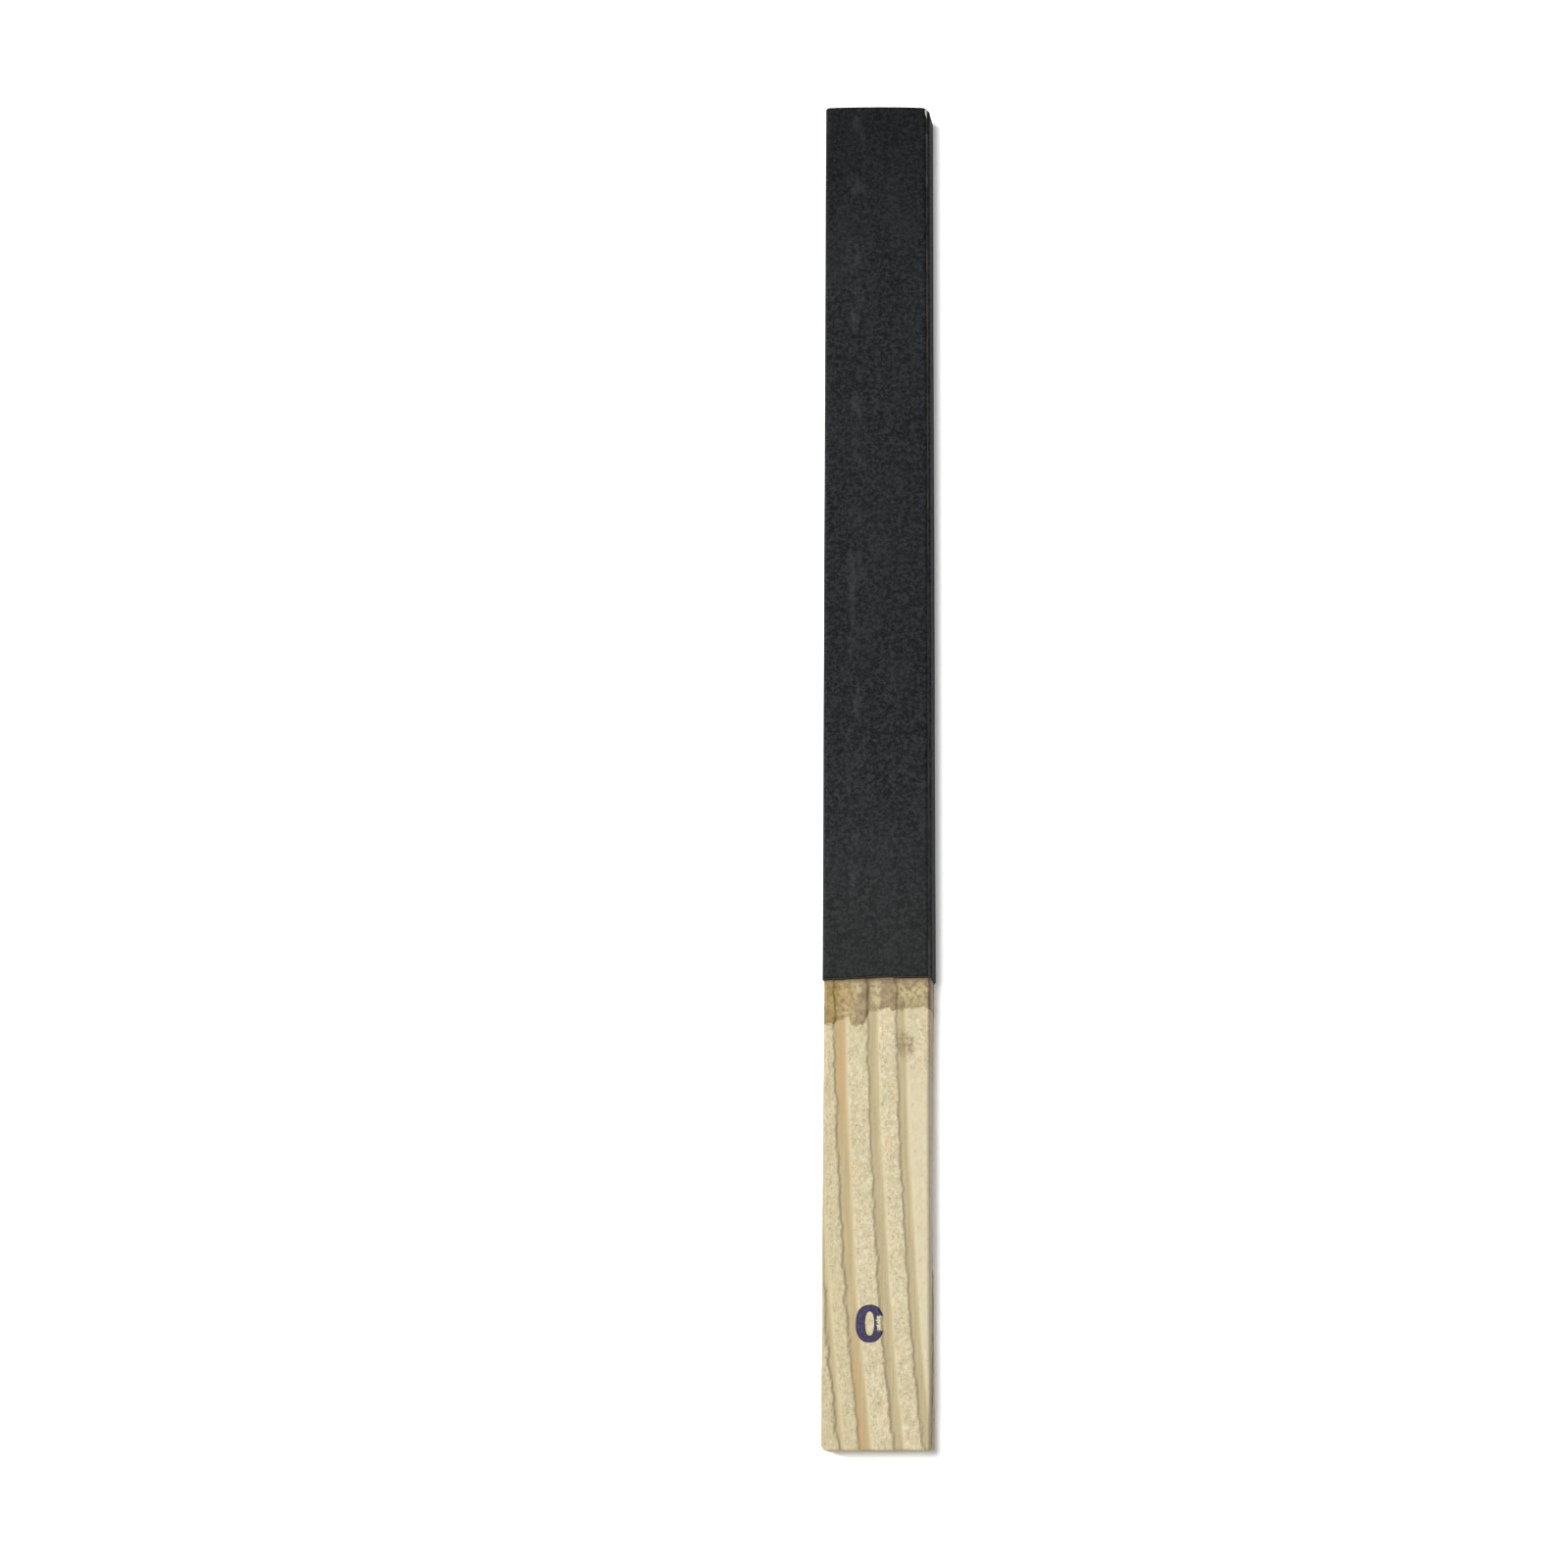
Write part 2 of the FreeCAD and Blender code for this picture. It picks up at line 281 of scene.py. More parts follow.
def wood_relief(points):
    """The height of the wood's surface over the slat's plain section, and what its finish needs to know."""
    ring, begun, past, ahead = wood_grain(points)
    torn_edge = smooth(ahead, 0.0, RAGGED_DROP)
    band = smooth(past, SLOPE_START, SLOPE_END) * torn_edge
    nap = smooth(past, NAP_START, NAP_END) * torn_edge
    fuzz = noise_at(points, (0.9, 1.3, 0.9), 23.0)
    pile = noise_at(points, (2.6, 5.0, 2.6), 31.0)
    depth = GROOVE_DEPTH * (1.0 + DEPTH_SPREAD * noise_at(points, (8.0, 26.0, 8.0), 41.0))
    height = PILE_RISE * pile + FUZZ_RISE * fuzz * nap - depth * (1.0 - band) + BAND_RISE
    tone = smooth(past, TONE_START, TONE_END) * smooth(ahead, BREAK_START, BREAK_END)
    foot = np.maximum(smooth(-ahead, -FOOT_ON_BAND, 0.0), smooth(-begun, -FOOT_IN_GROOVE, 0.0))
    return height, {"past": past, "ring": ring.astype(float), "tone": tone, "nap": nap, "foot": foot}


def bow(y):
    """How far the handle has sprung to the left at a place along the stick."""
    return BOW * smooth(SHEET_EDGE - y, 0.0, BOW_LENGTH)


def plan_round(x, half_width, radius):
    """How far an end recedes at x, where its corners are rounded as seen from above."""
    over = np.clip(np.abs(x) - (half_width - radius), 0.0, radius)
    return radius - np.sqrt(radius * radius - over * over)


def tip_crown(x):
    """How far the worn tip recedes at x: a low crown with rounded corners, a little askew."""
    left = plan_round(np.minimum(x, 0.0), SHEET_HIGH[0], TIP_CORNERS[0])
    right = plan_round(np.maximum(x, 0.0), SHEET_HIGH[0], TIP_CORNERS[1])
    return TIP_CROWN * np.abs(x / SHEET_HIGH[0]) ** 3 + TIP_SLANT * x - TIP_PROUD + (left + right)


def slat_rows():
    """The slat's rows: distance along it, inset from its sides, and share of the way to its core."""
    rows = [(BUTT, BUTT_ROUND, 1.0 - ring / CAP_RINGS) for ring in range(CAP_RINGS)]
    for turn in np.linspace(0.0, math.pi / 2, BUTT_ROUND_STEPS + 1)[:-1]:
        rows.append((BUTT + BUTT_ROUND * (1.0 - math.cos(turn)), BUTT_ROUND * (1.0 - math.sin(turn)), 0.0))
    fine_end = SHEET_EDGE + TUCK
    fine = np.arange(BUTT + BUTT_ROUND, fine_end, FINE_ROW)
    coarse = np.linspace(fine_end, TIP - TIP_ROUND, int((TIP - fine_end) / COARSE_ROW))
    rows += [(y, 0.0, 0.0) for y in (*fine, *coarse)]
    rows.append((TIP, TIP_ROUND, 0.0))
    rows += [(TIP, TIP_ROUND, (ring + 1) / CAP_RINGS) for ring in range(CAP_RINGS)]
    return np.array(rows)


def slat_grid(rows, lift=0.0):
    """Points of the wood's surface, row by row, raised by lift, and the attributes of its finish."""
    places, directions = section_stations(SLAT_STATIONS, SLAT_ROUND_STEPS)
    y, inset, share = (column[:, None] for column in rows.T)
    core = np.clip(places[:, 0], SLAT_HALF_DEPTH - SLAT_HALF_WIDTH, SLAT_HALF_WIDTH - SLAT_HALF_DEPTH)
    x = (places[:, 0] - inset * directions[:, 0]) * (1.0 - share) + core * share
    z = (places[:, 1] - inset * directions[:, 1]) * (1.0 - share) + SLAT_MIDDLE
    y = np.broadcast_to(y, x.shape)
    points = np.stack([x, y, z], axis=-1).reshape(-1, 3)
    height, attributes = wood_relief(points)
    under_sheet = smooth(points[:, 1], SHEET_EDGE, SHEET_EDGE + TUCK)
    height = height.reshape(x.shape) * (1.0 - share) * (1.0 - under_sheet.reshape(x.shape)) + lift
    height += FLARE * (1.0 - share) * np.abs(directions[:, 0]) * (1.0 - smooth(y, BUTT, BUTT + FLARE_LENGTH))
    points = np.stack([x + directions[:, 0] * height - bow(y), y, z + directions[:, 1] * height], axis=-1)
    behind = (SLAT_HIGH[2] - points[..., 2]) / (2 * SLAT_HALF_DEPTH)
    ends = np.where(
        points[..., 1] < 0.0,
        plan_round(points[..., 0], SLAT_HALF_WIDTH, CORNER_ROUND) + BUTT_SLANT * behind,
        -tip_crown(points[..., 0]) - TIP_INSET,
    )
    near_end = smooth(np.abs(points[..., 1]), TIP - END_ZONE[0], TIP - END_ZONE[1])
    points[..., 1] += ends * near_end
    return points, attributes


# ---- Shader maths --------------------------------------------------------------------------------
class Signal:
    """A shader socket that can be used in Python sums."""

    def __init__(self, finish, socket):
        self.finish = finish
        self.socket = socket

    def maths(self, operation, *others):
        operands = {number: value for number, value in enumerate((self, *others))}
        return self.finish.node("ShaderNodeMath", {"operation": operation}, operands)

    def __add__(self, other):
        return self.maths("ADD", other)

    def __mul__(self, other):
        return self.maths("MULTIPLY", other)

    def __sub__(self, other):
        return self.maths("SUBTRACT", other)

    def __rsub__(self, other):
        return self.finish.node("ShaderNodeMath", {"operation": "SUBTRACT"}, {0: other, 1: self})

    __radd__ = __add__

    def most(self, other):
        return self.maths("MAXIMUM", other)

    def ramp(self, low, high):
        """0 at low, 1 at high, and a soft ramp between them. low may be above high."""
        settings = {"interpolation_type": "SMOOTHSTEP"}
        if low < high:
            return self.finish.node("ShaderNodeMapRange", settings, {0: self, 1: low, 2: high})
        return 1.0 - self.finish.node("ShaderNodeMapRange", settings, {0: self, 1: high, 2: low})


class Finish:
    """A material with a Principled shader, and short ways to add the nodes that feed it."""

    def __init__(self, name):
        self.material = bpy.data.materials.new(name)
        self.material.use_nodes = True
        self.nodes = self.material.node_tree.nodes
        self.links = self.material.node_tree.links
        self.shader = next(node for node in self.nodes if node.type == "BSDF_PRINCIPLED")
        self.place = self.node("ShaderNodeTexCoord", {}, {}, "Object")

    def node(self, kind, settings, inputs, output=0):
        """Adds a node, sets it up, and gives one of its outputs."""
        node = self.nodes.new(kind)
        for name, value in settings.items():
            setattr(node, name, value)
        for key, value in inputs.items():
            self.feed(node.inputs[key], value)
        return Signal(self, node.outputs[output])

    def feed(self, socket, value):
        if isinstance(value, Signal):
            self.links.new(value.socket, socket)
        else:
            socket.default_value = value

    def stretched(self, x, y, z):
        """Object coordinates, scaled so that a pattern's features are x, y and z millimetres."""
        scale = tuple(1.0 / (size * MM) for size in (x, y, z))
        return self.node("ShaderNodeMapping", {}, {"Vector": self.place, "Scale": scale})

    def noise(self, size, detail=2.0, roughness=0.5, distortion=0.0):
        """Noise from 0 to 1. size is that of its features in millimetres, or three sizes along X, Y and Z."""
        sizes = size if isinstance(size, tuple) else (size, size, size)
        inputs = {
            "Vector": self.stretched(*sizes),
            "Scale": 1.0,
            "Detail": detail,
            "Roughness": roughness,
            "Distortion": distortion,
        }
        return self.node("ShaderNodeTexNoise", {}, inputs, "Fac")

    def cells(self, size):
        """The distance to the nearest of many scattered points, which are about size millimetres apart."""
        inputs = {"Vector": self.stretched(size, size, size), "Scale": 1.0}
        return self.node("ShaderNodeTexVoronoi", {}, inputs, "Distance")

    def attribute(self, name):
        return self.node("ShaderNodeAttribute", {"attribute_name": name}, {}, "Fac")

    def axis(self, name):
        """One object coordinate, in millimetres."""
        return self.node("ShaderNodeSeparateXYZ", {}, {0: self.place}, name) * (1.0 / MM)

    def mix(self, factor, first, second):
        """A mix of two colours: the first where the factor is 0, and the second where it is 1."""
        return self.node("ShaderNodeMix", {"data_type": "RGBA"}, {0: factor, 6: first, 7: second}, 2)

    def bumped(self, height, depth, under=None):
        """A normal, from a height of 0 to 1 that stands for depth millimetres."""
        inputs = {"Height": height, "Distance": depth * MM, "Strength": 1.0}
        if under is not None:
            inputs["Normal"] = under
        return self.node("ShaderNodeBump", {}, inputs)

    def set(self, **values):
        """Feeds the shader's sockets. A word with underscores names a socket with spaces."""
        for name, value in values.items():
            self.feed(self.shader.inputs[name.replace("_", " ")], value)
        return self.material


EXPOSURE = 1.35  # what a white surface that faces up sends back under the scene's lights
GAMMA = 2.2


def paint(red, green, blue):
    """The colour that shows as those screen values, out of 255, under the scene's lights."""
    return (*(((value / 255) ** GAMMA) / EXPOSURE for value in (red, green, blue)), 1.0)


# ---- Finishes ------------------------------------------------------------------------------------
# A finish is painted in layers. Each mix lays the colour given last over what is there, as strongly as its
# first value says, and that value is a place on the stick, a pattern, or the two multiplied.
SMUDGE_PLACE = (6.8, SHEET_EDGE - 16.6)
SMUDGE_HALF = (2.2, 3.6)
SIDE_SHADE_WIDTH = 0.6  # the width of the painted shade along each side
RIGHT_ARRIS = 12.4


def softwood_finish():
    """Dry sawn softwood: pale napped bands between smooth tan grooves."""
    wood = Finish("softwood")
    past, ring, tone, foot = (wood.attribute(name) for name in ("past", "ring", "tone", "foot"))
    x, y, z = (wood.axis(name) for name in "XYZ")

    pile = wood.noise((0.7, 0.95, 0.7), 4.0, 0.6, 0.5)
    felt = wood.noise((0.5, 0.8, 0.5), 2.0, 0.6, 1.0)
    clump = wood.noise((1.8, 2.8, 1.8), 3.0, 0.55, 0.6)
    streak = wood.noise((0.4, 16.0, 0.4), 4.0, 0.6)
    tint = wood.noise((3.0, 6.0, 3.0), 2.0)

    # The pale bands, less fuzzy where they are combed.
    combed = ring.ramp(COMBED_RING - 0.6, COMBED_RING - 0.4) * y.ramp(SHEET_EDGE - 20.0, SHEET_EDGE - 26.0)
    nap = wood.attribute("nap") * (1.0 - combed * 0.5)
    band = wood.mix(clump.ramp(0.3, 0.7), paint(196, 184, 152), paint(212, 201, 171))
    band = wood.mix(pile.ramp(0.56, 0.32) * nap * 0.55, band, paint(178, 164, 126))
    band = wood.mix(pile.ramp(0.52, 0.7) * nap * 0.45, band, paint(240, 230, 203))
    band = wood.mix(felt.ramp(0.42, 0.3) * nap * 0.5, band, paint(158, 144, 106))
    band = wood.mix(tint.ramp(0.5, 0.72) * 0.4, band, paint(222, 199, 162))
    band = wood.mix(tint.ramp(0.48, 0.3) * 0.3, band, paint(204, 202, 158))
    band = wood.mix(ring.ramp(WARM_RING - 0.4, WARM_RING - 0.6) * 0.3, band, paint(186, 173, 134))
    band = wood.mix(combed * 0.6, band, paint(209, 198, 169))

    # The grooves, one of them orange beside the glue and at the butt.
    warm_groove = ring.ramp(WARM_RING + 0.6, WARM_RING + 0.4) * ring.ramp(WARM_RING - 0.6, WARM_RING - 0.4)
    by_glue = y.ramp(SHEET_EDGE - 48.0, SHEET_EDGE - 22.0) * past.ramp(0.2, -1.2)
    by_butt = y.ramp(BUTT + 30.0, BUTT + 18.0) * past.ramp(-1.2, -1.9) * 1.4
    floor = wood.mix(streak.ramp(0.3, 0.7), paint(170, 156, 120), paint(186, 173, 138))
    floor = wood.mix(pile.ramp(0.5, 0.3) * 0.4, floor, paint(156, 141, 104))
    warmth = warm_groove * (by_glue.most(by_butt) * (0.2 + clump * 0.5) + tint * 0.25)
    floor = wood.mix(warmth, floor, paint(188, 152, 102))

    # Both together, with a shade along the foot of each torn edge.
    colour = wood.mix(tone, floor, band)
    shade = foot * (0.1 + clump * 0.5) * (0.45 + y.ramp(SHEET_EDGE - 30.0, BUTT + 30.0) * 0.5)
    colour = wood.mix(shade, colour, paint(148, 133, 99))

    # A smudge of glue, specks of dirt, and painted shade along both sides.
    wobble_x = (wood.noise(2.2, 3.0, 0.6) - 0.5) * 2.4
    wobble_y = (felt - 0.5) * 2.0
    smudge_x = (x - SMUDGE_PLACE[0]) * (1 / SMUDGE_HALF[0]) + wobble_x
    smudge_y = (y - SMUDGE_PLACE[1]) * (1 / SMUDGE_HALF[1]) + wobble_y
    smudge = (smudge_x * smudge_x + smudge_y * smudge_y).ramp(1.6, -0.2)
    colour = wood.mix(smudge * (0.25 + pile.ramp(0.75, 0.25) * 0.65), colour, paint(122, 105, 76))
    dirt = wood.noise(0.9, 2.0).ramp(0.64, 0.76)
    colour = wood.mix(dirt * nap * 0.5, colour, paint(138, 124, 90))
    # Painted shade: both sides of the slat are darkened towards the colour of a side in shadow.
    side_shade = x.maths("ABSOLUTE").ramp(SLAT_HALF_WIDTH - SIDE_SHADE_WIDTH, SLAT_HALF_WIDTH - 0.1)
    colour = wood.mix(side_shade * 0.3, colour, paint(150, 133, 108))
    arris = x.ramp(RIGHT_ARRIS, RIGHT_ARRIS + 0.45) * z.ramp(SLAT_HIGH[2] - 1.5, SLAT_HIGH[2] - 0.5)
    colour = wood.mix(arris * 0.35, colour, paint(124, 104, 78))

    fibres = wood.bumped((pile * 0.7 + felt * 0.5) * nap, 0.2)
    grain = wood.bumped(streak, 0.03, fibres)
    return wood.set(Base_Color=colour, Roughness=0.7 + nap * 0.15, Specular_IOR_Level=0.25, Normal=grain)


def glue_finish():
    """Dried hide glue soaked into the wood: golden on the left, olive and brown where it lies thick."""
    glue = Finish("hide_glue")
    x, z = glue.axis("X"), glue.axis("Z")
    reach = glue.attribute("reach")
    pile = glue.noise((0.9, 1.1, 0.9), 4.0, 0.65, 0.25)
    cloud = glue.noise((3.0, 3.4, 3.0), 2.0)
    blot = glue.noise((1.5, 1.7, 1.5), 3.0, 0.6, 0.3)
    streak = glue.noise((0.5, 14.0, 0.5), 2.0)

    # From left to right: gold, tan, a cloudy middle, a clear strip and a darker run.
    body = glue.mix(x.ramp(-10.4, -8.6), paint(162, 134, 66), paint(186, 156, 102))
    body = glue.mix(x.ramp(-6.2, -4.6), body, paint(164, 142, 105))
    body = glue.mix(cloud.ramp(0.42, 0.62) * (0.5 + x.ramp(-6.0, -4.0) * 0.5), body, paint(196, 180, 132))
    body = glue.mix(x.ramp(-2.0, 0.0) * blot.ramp(0.5, 0.62) * 0.4, body, paint(190, 182, 118))
    body = glue.mix(x.ramp(-2.4, -1.6) * x.ramp(1.4, 0.6) * 0.7, body, paint(200, 184, 140))
    body = glue.mix(x.ramp(0.8, 1.8) * x.ramp(5.6, 4.6) * 0.7, body, paint(152, 130, 94))

    # Where it has soaked into the grain, a painted shadow just below the sheet's edge, and where it has run
    # down a seam.
    body = glue.mix(pile.ramp(0.58, 0.34) * 0.75, body, paint(114, 94, 58))
    body = glue.mix(blot.ramp(0.48, 0.28) * 0.6, body, paint(112, 86, 54))
    # Painted shadow that the sheet's edge casts onto the glue.
    sheet_edge_shadow = glue.axis("Y").ramp(SHEET_EDGE - 1.5, SHEET_EDGE - 0.1)
    body = glue.mix(sheet_edge_shadow * 0.8, body, paint(96, 80, 56))
    body = glue.mix(streak.ramp(0.4, 0.25) * 0.4, body, paint(124, 98, 64))
    seam = x.ramp(-3.6, -2.4) * x.ramp(-1.0, -2.2)
    body = glue.mix(seam * (0.3 + pile * 0.7), body, paint(112, 86, 54))

    # Its ragged border, a little darker along the rim, and its brown line down the right-hand arris.
    ragged = reach + (glue.noise(1.3, 4.0, 0.65) - 0.5) * 3.2
    cover = ragged.ramp(-0.3, 0.45)
    rim_line = ragged.ramp(1.3, 0.4) * cover
    body = glue.mix(rim_line * 0.45, body, paint(134, 116, 66))
    arris = x.ramp(RIGHT_ARRIS, RIGHT_ARRIS + 0.4) * z.ramp(SLAT_HIGH[2] - 2.0, SLAT_HIGH[2] - 1.0)
    body = glue.mix(arris * 0.7, body, paint(92, 66, 42))
    alpha = cover * (0.6 + blot * 0.4)
    bump = glue.bumped(pile, 0.15)
    return glue.set(Base_Color=body, Alpha=alpha, Roughness=0.5 + pile * 0.25, Normal=bump)


def kraft_finish():
    """Brown backing paper, seen along its cut edges: clean where the coat is chipped, and grimy elsewhere."""
    kraft = Finish("backing_paper")
    x, y = kraft.axis("X"), kraft.axis("Y")
    pulp = kraft.noise(0.12, 4.0, 0.7)
    worn = kraft.noise((3.0, 9.0, 3.0), 2.0)
    colour = kraft.mix(pulp, paint(96, 80, 58), paint(140, 122, 92))
    grime = kraft.mix(pulp, paint(58, 57, 56), paint(92, 90, 88))
    colour = kraft.mix(worn.ramp(0.62, 0.5) * y.ramp(SHEET_EDGE + 0.8, SHEET_EDGE + 2.0), colour, grime)
    fresh = y.ramp(TIP - 4.2, TIP - 3.4) * x.ramp(11.2, 12.0)
    colour = kraft.mix(fresh, colour, kraft.mix(pulp, paint(216, 212, 190), paint(250, 248, 236)))
    fuzz = kraft.bumped(pulp, 0.05)
    return kraft.set(Base_Color=colour, Roughness=0.9, Specular_IOR_Level=0.2, Normal=fuzz)


def emery_finish():
    """Fine black grit held in glue, greyed where it has rubbed."""
    emery = Finish("emery_coat")
    x, y, z = (emery.axis(name) for name in "XYZ")
    grit = emery.noise(0.2, 3.0, 0.7)
    coarse = emery.noise(0.5, 3.0, 0.6, 0.8)
    cloud = emery.noise((7.0, 16.0, 7.0), 3.0, 0.55)
    fleck = emery.noise(0.85, 3.0, 0.7, 0.4)

    # The grit itself, from its finest grains to its clouds.
    colour = emery.mix(grit.ramp(0.3, 0.7), paint(27, 29, 32), paint(41, 43, 46))
    colour = emery.mix(fleck.ramp(0.44, 0.66) * 0.75, colour, paint(60, 61, 64))
    colour = emery.mix(fleck.ramp(0.52, 0.36) * 0.7, colour, paint(17, 18, 21))
    colour = emery.mix(coarse.ramp(0.52, 0.72) * 0.3, colour, paint(62, 63, 66))
    colour = emery.mix(cloud.ramp(0.45, 0.75) * 0.3, colour, paint(54, 56, 58))

    # It is darkest at the tip, and greyest by the handle and where it has rubbed.
    colour = emery.mix(y.ramp(TIP - 60.0, TIP + 10.0) * 0.45, colour, paint(4, 7, 11))
    colour = emery.mix(0.1 + y.ramp(SHEET_EDGE + 40.0, SHEET_EDGE + 90.0) * 0.12, colour, paint(4, 6, 10))
    colour = emery.mix(y.ramp(SHEET_EDGE + 60.0, SHEET_EDGE) * 0.25, colour, paint(56, 60, 55))
    rub = emery.noise((2.4, 7.0, 2.4), 2.0).ramp(0.5, 0.74) * x.ramp(-2.0, -4.5) * x.ramp(-9.0, -6.0)
    colour = emery.mix(rub * 0.28, colour, paint(74, 76, 78))

    # The right-hand arris is worn in patches, most of all near the sheet's ends, and a few grains have a
    # painted glint as well as a smoother surface.
    patchy = emery.noise((20.0, 5.0, 20.0), 3.0, 0.6).ramp(0.3, 0.68)
    by_tip = y.ramp(TIP - 26.0, TIP - 20.0) * y.ramp(TIP - 5.0, TIP - 9.0)
    ends = y.ramp(SHEET_EDGE + 14.0, SHEET_EDGE + 4.0).most(by_tip)
    arris = x.ramp(12.55, 12.8) * x.ramp(13.3, 13.0) * z.ramp(SHEET_HIGH[2] - 0.8, SHEET_HIGH[2] - 0.3)
    colour = emery.mix(arris * patchy * (0.25 + ends * 0.35), colour, paint(118, 120, 120))
    # Painted glint: a few grains are lightened in colour, and they are also made smoother so that they really
    # shine.
    glinting_grains = emery.cells(0.75).ramp(0.12, 0.05) * emery.noise(2.0, 0.0).ramp(0.52, 0.6)
    colour = emery.mix(glinting_grains * 0.4, colour, paint(120, 122, 124))
    bump = emery.bumped(grit, 0.06, emery.bumped(coarse, 0.06))
    roughness = 0.78 - glinting_grains * 0.3
    return emery.set(Base_Color=colour, Roughness=roughness, Specular_IOR_Level=0.1, Normal=bump)


def ink_finish():
    """Violet stamping ink that has soaked in, with a patch where it has rubbed off."""
    ink = Finish("stamp_ink")
    blot = ink.noise(0.9, 3.0)
    pore = ink.noise((0.2, 0.35, 0.2), 3.0, 0.7)
    edge = ink.attribute("edge")
    colour = ink.mix(blot.ramp(0.35, 0.7), paint(46, 38, 68), paint(62, 56, 92))
    colour = ink.mix(edge.ramp(0.55, 1.0) * 0.7, colour, paint(38, 30, 54))
    worn = ink.attribute("worn") + (ink.noise(0.5, 3.0, 0.6) - 0.5) * 2.2
    cover = worn.ramp(0.75, 0.5)
    pores = 1.0 - pore.ramp(0.64, 0.76) * 0.7
    return ink.set(Base_Color=colour, Alpha=cover * pores, Roughness=0.7, Specular_IOR_Level=0.3)


# ---- Pieces --------------------------------------------------------------------------------------
def make_slat(finish):
    """The slat, with its grain standing out on the handle."""
    rows = slat_rows()
    points, attributes = slat_grid(rows)
    count, stations = points.shape[:2]
    faces = quads(count, stations, True)
    return make_piece("slat", points.reshape(-1, 3), faces, finish, "wood_core", attributes)


def glue_border(places):
    """Where along the stick the glue's creep stops at each station: further at the left and in one run."""
    across = np.stack([places[:, 0], np.zeros(len(places)), places[:, 1]], axis=-1)
    creep = CREEP + CREEP_WAVE * noise_at(across, 3.5, 5.0) + CREEP_RIPPLE * noise_at(across, 1.2, 9.0)
    left = 2.0 * smooth(-places[:, 0], 4.5, 7.0) + 1.3 * smooth(-places[:, 0], 9.3, 10.4)
    run = RUN_LENGTH * smooth(-np.abs(places[:, 0] - RUN_PLACE), -3.0, -1.4)
    return SHEET_EDGE - creep - np.maximum(left, run)


def make_glue(finish):
    """The film of glue over the wood, from under the sheet to its ragged border on the handle."""
    slat = slat_rows()
    keep = (slat[:, 0] > GLUE_EDGE - FILM_MARGIN) & (slat[:, 0] < SHEET_EDGE + TUCK) & (slat[:, 2] == 0.0)
    rows = slat[keep]
    outer, _ = slat_grid(rows, FILM_HALF_DEPTH)
    inner, _ = slat_grid(rows, -FILM_HALF_DEPTH)
    places, _ = section_stations(SLAT_STATIONS, SLAT_ROUND_STEPS)
    reach = outer[..., 1] - glue_border(places)[None, :]
    points, faces = slab(outer, inner, True)
    attributes = {"reach": np.tile(reach.ravel(), 2)}
    return make_piece("glue_squeeze_out", points, faces, finish, "glue_film", attributes)


def winding_path():
    """Stations of the wound sheet: places and directions on the slat's section, lifts, and turns made so far.

    The sheet starts on the right side, climbs onto itself as it rounds the right-hand arris of the working
    face, and ends there a turn later.
    """
    places, directions = section_stations(SHEET_STATIONS, SHEET_ROUND_STEPS)
    total = len(places)
    steps = np.arange(WINDING_START, TURNS * total - SHEET_ROUND_STEPS + 1)
    corner_turn = smooth(steps.astype(float), float(total - SHEET_ROUND_STEPS), float(total))
    return places[steps % total], directions[steps % total], GLUE_LIFT + PITCH * corner_turn, steps / total


def make_winding(name, finish, node, inner_lift, depth, set_back):
    """One layer of the wound sheet. set_back is how far its free edges stop short of the sheet's own."""
    places, directions, lift, turned = winding_path()
    # Along the sheet the rows are closest at its two ends, which show how it is cut.
    butt_end = np.linspace(0, 0.03, 9)[:-1]
    middle = np.linspace(0.03, 0.98, 110)[:-1]
    tip_end = np.linspace(0.98, 1, 7)
    shares = np.concatenate([butt_end, middle, tip_end])
    grid_share, grid_place = np.meshgrid(shares, np.arange(len(places)), indexing="ij")
    x0, z0 = places[grid_place, 0], places[grid_place, 1]
    out_x, out_z = directions[grid_place, 0], directions[grid_place, 1]
    probe = np.stack([x0, grid_share * 0.0, z0], axis=-1).reshape(-1, 3)
    wave = noise_at(probe, 7.0, 2.0).reshape(x0.shape)
    nick = noise_at(probe, 0.9, 6.0).reshape(x0.shape)
    second_turn = smooth(turned, 1.0, 1.02)[None, :]
    skew = CUT_SKEW * np.minimum(x0, 2.0) - CUT_STEP * smooth(x0, 2.0, 8.0)
    skew *= smooth(z0, 0.0, SLAT_HALF_DEPTH)
    low = SHEET_EDGE + CUT_WAVE * wave + CUT_NICKS * nick + set_back + SECOND_TURN_SHORT * second_turn + skew
    high = TIP - tip_crown(x0) - TIP_NICKS * nick - 0.6 * set_back
    y = low + (high - low) * grid_share
    surface = np.stack([x0, y, z0], axis=-1).reshape(-1, 3)
    uneven = noise_at(surface, (9.0, 24.0, 9.0), 8.0).reshape(x0.shape)
    bulge = SWELL * uneven * second_turn - SWELL * second_turn
    layers = []
    for rise in (inner_lift + depth, inner_lift):
        off = lift[None, :] + rise + bulge
        layer = np.stack([x0 + out_x * off, y, z0 + out_z * off + SLAT_MIDDLE], axis=-1)
        # The free end, with the coat worn back from it and chipped at the tip's corner.
        along_edge = layer[:, -1] * (0, 1, 0)
        edge = SLAT_HALF_WIDTH - FREE_END_INSET + FREE_END_WAVE * noise_at(along_edge, 6.0, 4.0)
        wear = set_back * (1.2 + 2.4 * noise_at(along_edge, 7.0, 7.0))
        chip = CHIP * set_back * smooth(layer[:, -1, 1], TIP - 3.6, TIP - 2.8)
        layer[:, -1, 0] = edge - np.maximum(wear, 0.0) - chip
        layers.append(layer)
    points, faces = slab(layers[0], layers[1], False)
    return make_piece(name, points, faces, finish, node)


